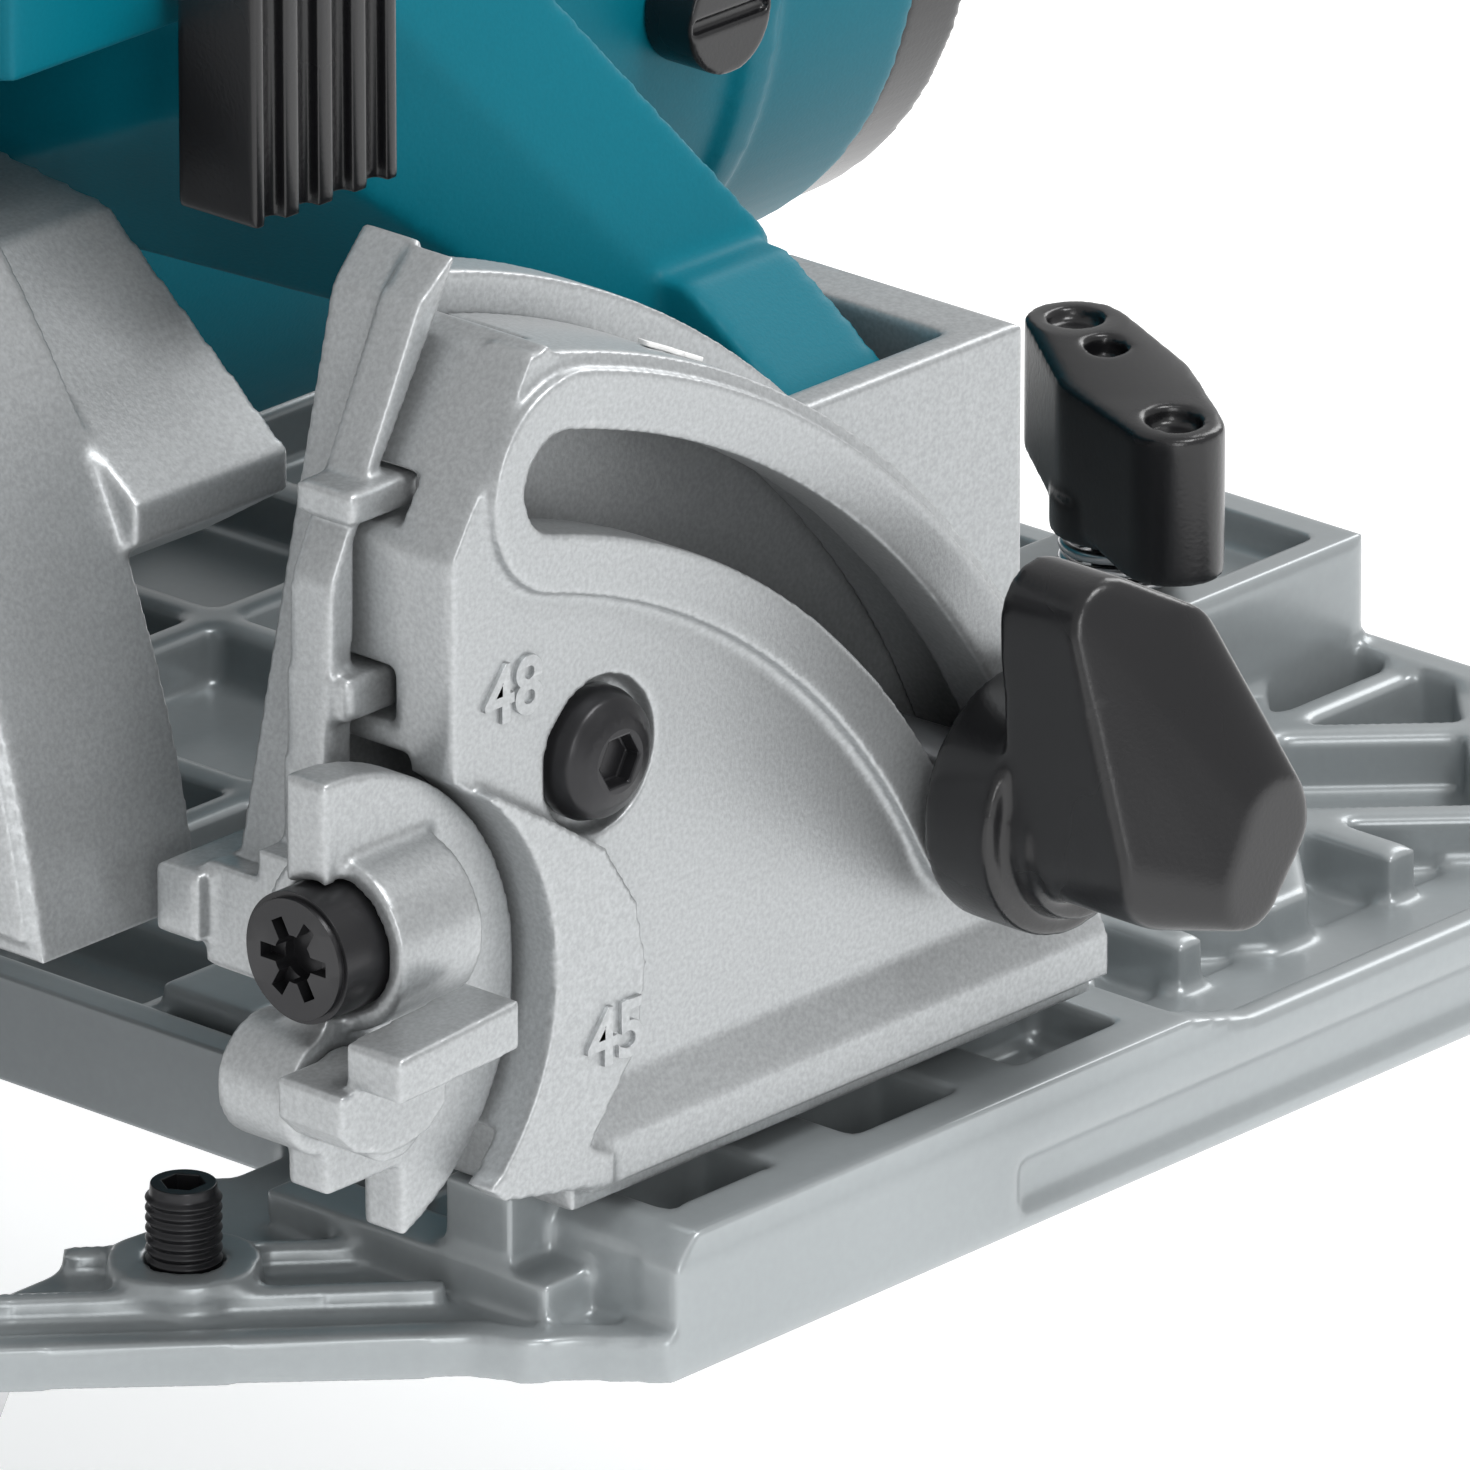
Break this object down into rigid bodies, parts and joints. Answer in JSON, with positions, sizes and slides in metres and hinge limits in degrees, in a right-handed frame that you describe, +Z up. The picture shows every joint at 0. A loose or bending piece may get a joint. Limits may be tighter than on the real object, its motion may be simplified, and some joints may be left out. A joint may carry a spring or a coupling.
{
  "type": "circular saw",
  "caption": "Right-blade circular saw with bevel quadrant, depth hinge, sprung lower guard, geared motor and cast base.",
  "frame": {"origin": "on the bevel axis in the sole plane, at the front face of the bevel quadrant", "axes": "+Z up from the sole, -Y the cutting direction, +X towards the motor"},
  "size_m": [0.258, 0.3757, 0.2807],
  "materials": {
    "cast_silver": "fine sand-cast silver paint",
    "cast_grey": "smooth die-cast grey",
    "teal": "satin moulded teal nylon",
    "black_plastic": "satin moulded black",
    "black_steel": "black oxide",
    "steel": "machined, zinc plated",
    "plate_steel": "rolled sheet",
    "copper": "turned",
    "carbon": "dull black"
  },
  "bodies": {
    "base": {"base_plate": "cast_grey", "quadrant": "cast_silver", "quadrant_bolt": "black_steel", "set_screw": "black_steel", "fence_spring": "steel", "rear_quadrant": "cast_silver"},
    "fence_screw": {"fence_wing_screw": "black_plastic"},
    "tilt_frame": {"angular_guide": "cast_silver", "limit_screw": "black_steel", "clamp_bolt": "steel", "hinge_pin": "steel", "depth_guide": "plate_steel", "rear_bolt": "steel"},
    "knob": {"bevel_knob": "black_plastic"},
    "stop_lever": {"positive_stop": "cast_silver"},
    "saw": {"blade_case": "cast_silver", "gear_housing": "cast_silver", "motor_housing": "teal", "end_cover": "black_plastic", "handle_left": "teal", "handle_right": "black_plastic", "front_grip": "black_plastic", "stator": "plate_steel", "brush_holders": "copper", "brushes": "carbon", "brush_caps": "black_plastic", "bearings": "steel", "idler_shaft": "steel", "switch_box": "black_plastic", "cord_inlet": "black_plastic", "case_screws": "steel", "depth_bolt": "steel"},
    "depth_clamp": {"depth_lever": "black_plastic"},
    "blade": {"saw_blade": "plate_steel", "spindle": "steel", "drive_gear": "steel", "inner_flange": "steel", "outer_flange": "steel", "blade_bolt": "steel"},
    "idler": {"idler_gear": "steel"},
    "armature": {"armature_shaft": "steel", "armature_core": "plate_steel", "commutator": "copper", "fan": "carbon"},
    "guard": {"lower_guard": "plate_steel", "guard_lever": "black_plastic"},
    "trigger": {"trigger": "black_plastic"},
    "lock_button": {"lock_button": "black_plastic"},
    "shaft_lock": {"shaft_lock": "black_plastic"}
  },
  "joints": [
    {"name": "fence_screw_turn", "type": "hinge", "parent": "base", "child": "fence_screw", "pos_m": [0.1835, 0.063, 0.02], "axis": [0, 0, 1], "range_deg": [0, 180]},
    {"name": "bevel_tilt", "type": "hinge", "parent": "base", "child": "tilt_frame", "pos_m": [0, 0.15, 0], "axis": [0, -1, 0], "range_deg": [0, 48]},
    {"name": "knob_turn", "type": "hinge", "parent": "tilt_frame", "child": "knob", "pos_m": [0.0887, -0.01, 0.04617], "axis": [0, 1, 0], "range_deg": [0, 90]},
    {"name": "stop_turn", "type": "hinge", "parent": "tilt_frame", "child": "stop_lever", "pos_m": [-0.006, 0, 0.04], "axis": [0, 1, 0], "range_deg": [0, 15]},
    {"name": "depth_adjust", "type": "hinge", "parent": "tilt_frame", "child": "saw", "pos_m": [0.096, 0.034, 0.072], "axis": [1, 0, 0], "range_deg": [0, 22]},
    {"name": "depth_lever_turn", "type": "hinge", "parent": "saw", "child": "depth_clamp", "pos_m": [0.02, 0.2697, 0.04723], "axis": [1, 0, 0], "range_deg": [0, 25]},
    {"name": "blade_spin", "type": "hinge", "parent": "saw", "child": "blade", "pos_m": [0, 0.161, 0.032], "axis": [1, 0, 0], "continuous": true},
    {"name": "idler_spin", "type": "hinge", "parent": "saw", "child": "idler", "pos_m": [0.016, 0.1517, 0.06678], "axis": [1, 0, 0], "continuous": true},
    {"name": "armature_spin", "type": "hinge", "parent": "saw", "child": "armature", "pos_m": [0.1, 0.165, 0.08], "axis": [1, 0, 0], "continuous": true},
    {"name": "guard_swing", "type": "hinge", "parent": "saw", "child": "guard", "pos_m": [0, 0.161, 0.032], "axis": [1, 0, 0], "range_deg": [0, 98], "stiffness_Nm_per_rad": 1.2, "springref_deg": -68.75},
    {"name": "trigger_pull", "type": "slide", "parent": "saw", "child": "trigger", "axis": [0, 0, 1], "range_m": [0, 0.003], "stiffness_N_per_m": 1200, "springref_m": -0.002},
    {"name": "lock_button_push", "type": "slide", "parent": "saw", "child": "lock_button", "axis": [0, 0, -1], "range_m": [0, 0.004], "stiffness_N_per_m": 600, "springref_m": -0.002},
    {"name": "shaft_lock_push", "type": "slide", "parent": "saw", "child": "shaft_lock", "axis": [0, 1, 0], "range_m": [0, 0.004], "stiffness_N_per_m": 600, "springref_m": -0.002}
  ],
  "couplings": [
    {"joint": "idler_spin", "follows": "blade_spin", "ratio": -2},
    {"joint": "armature_spin", "follows": "blade_spin", "ratio": 3.5556}
  ]
}
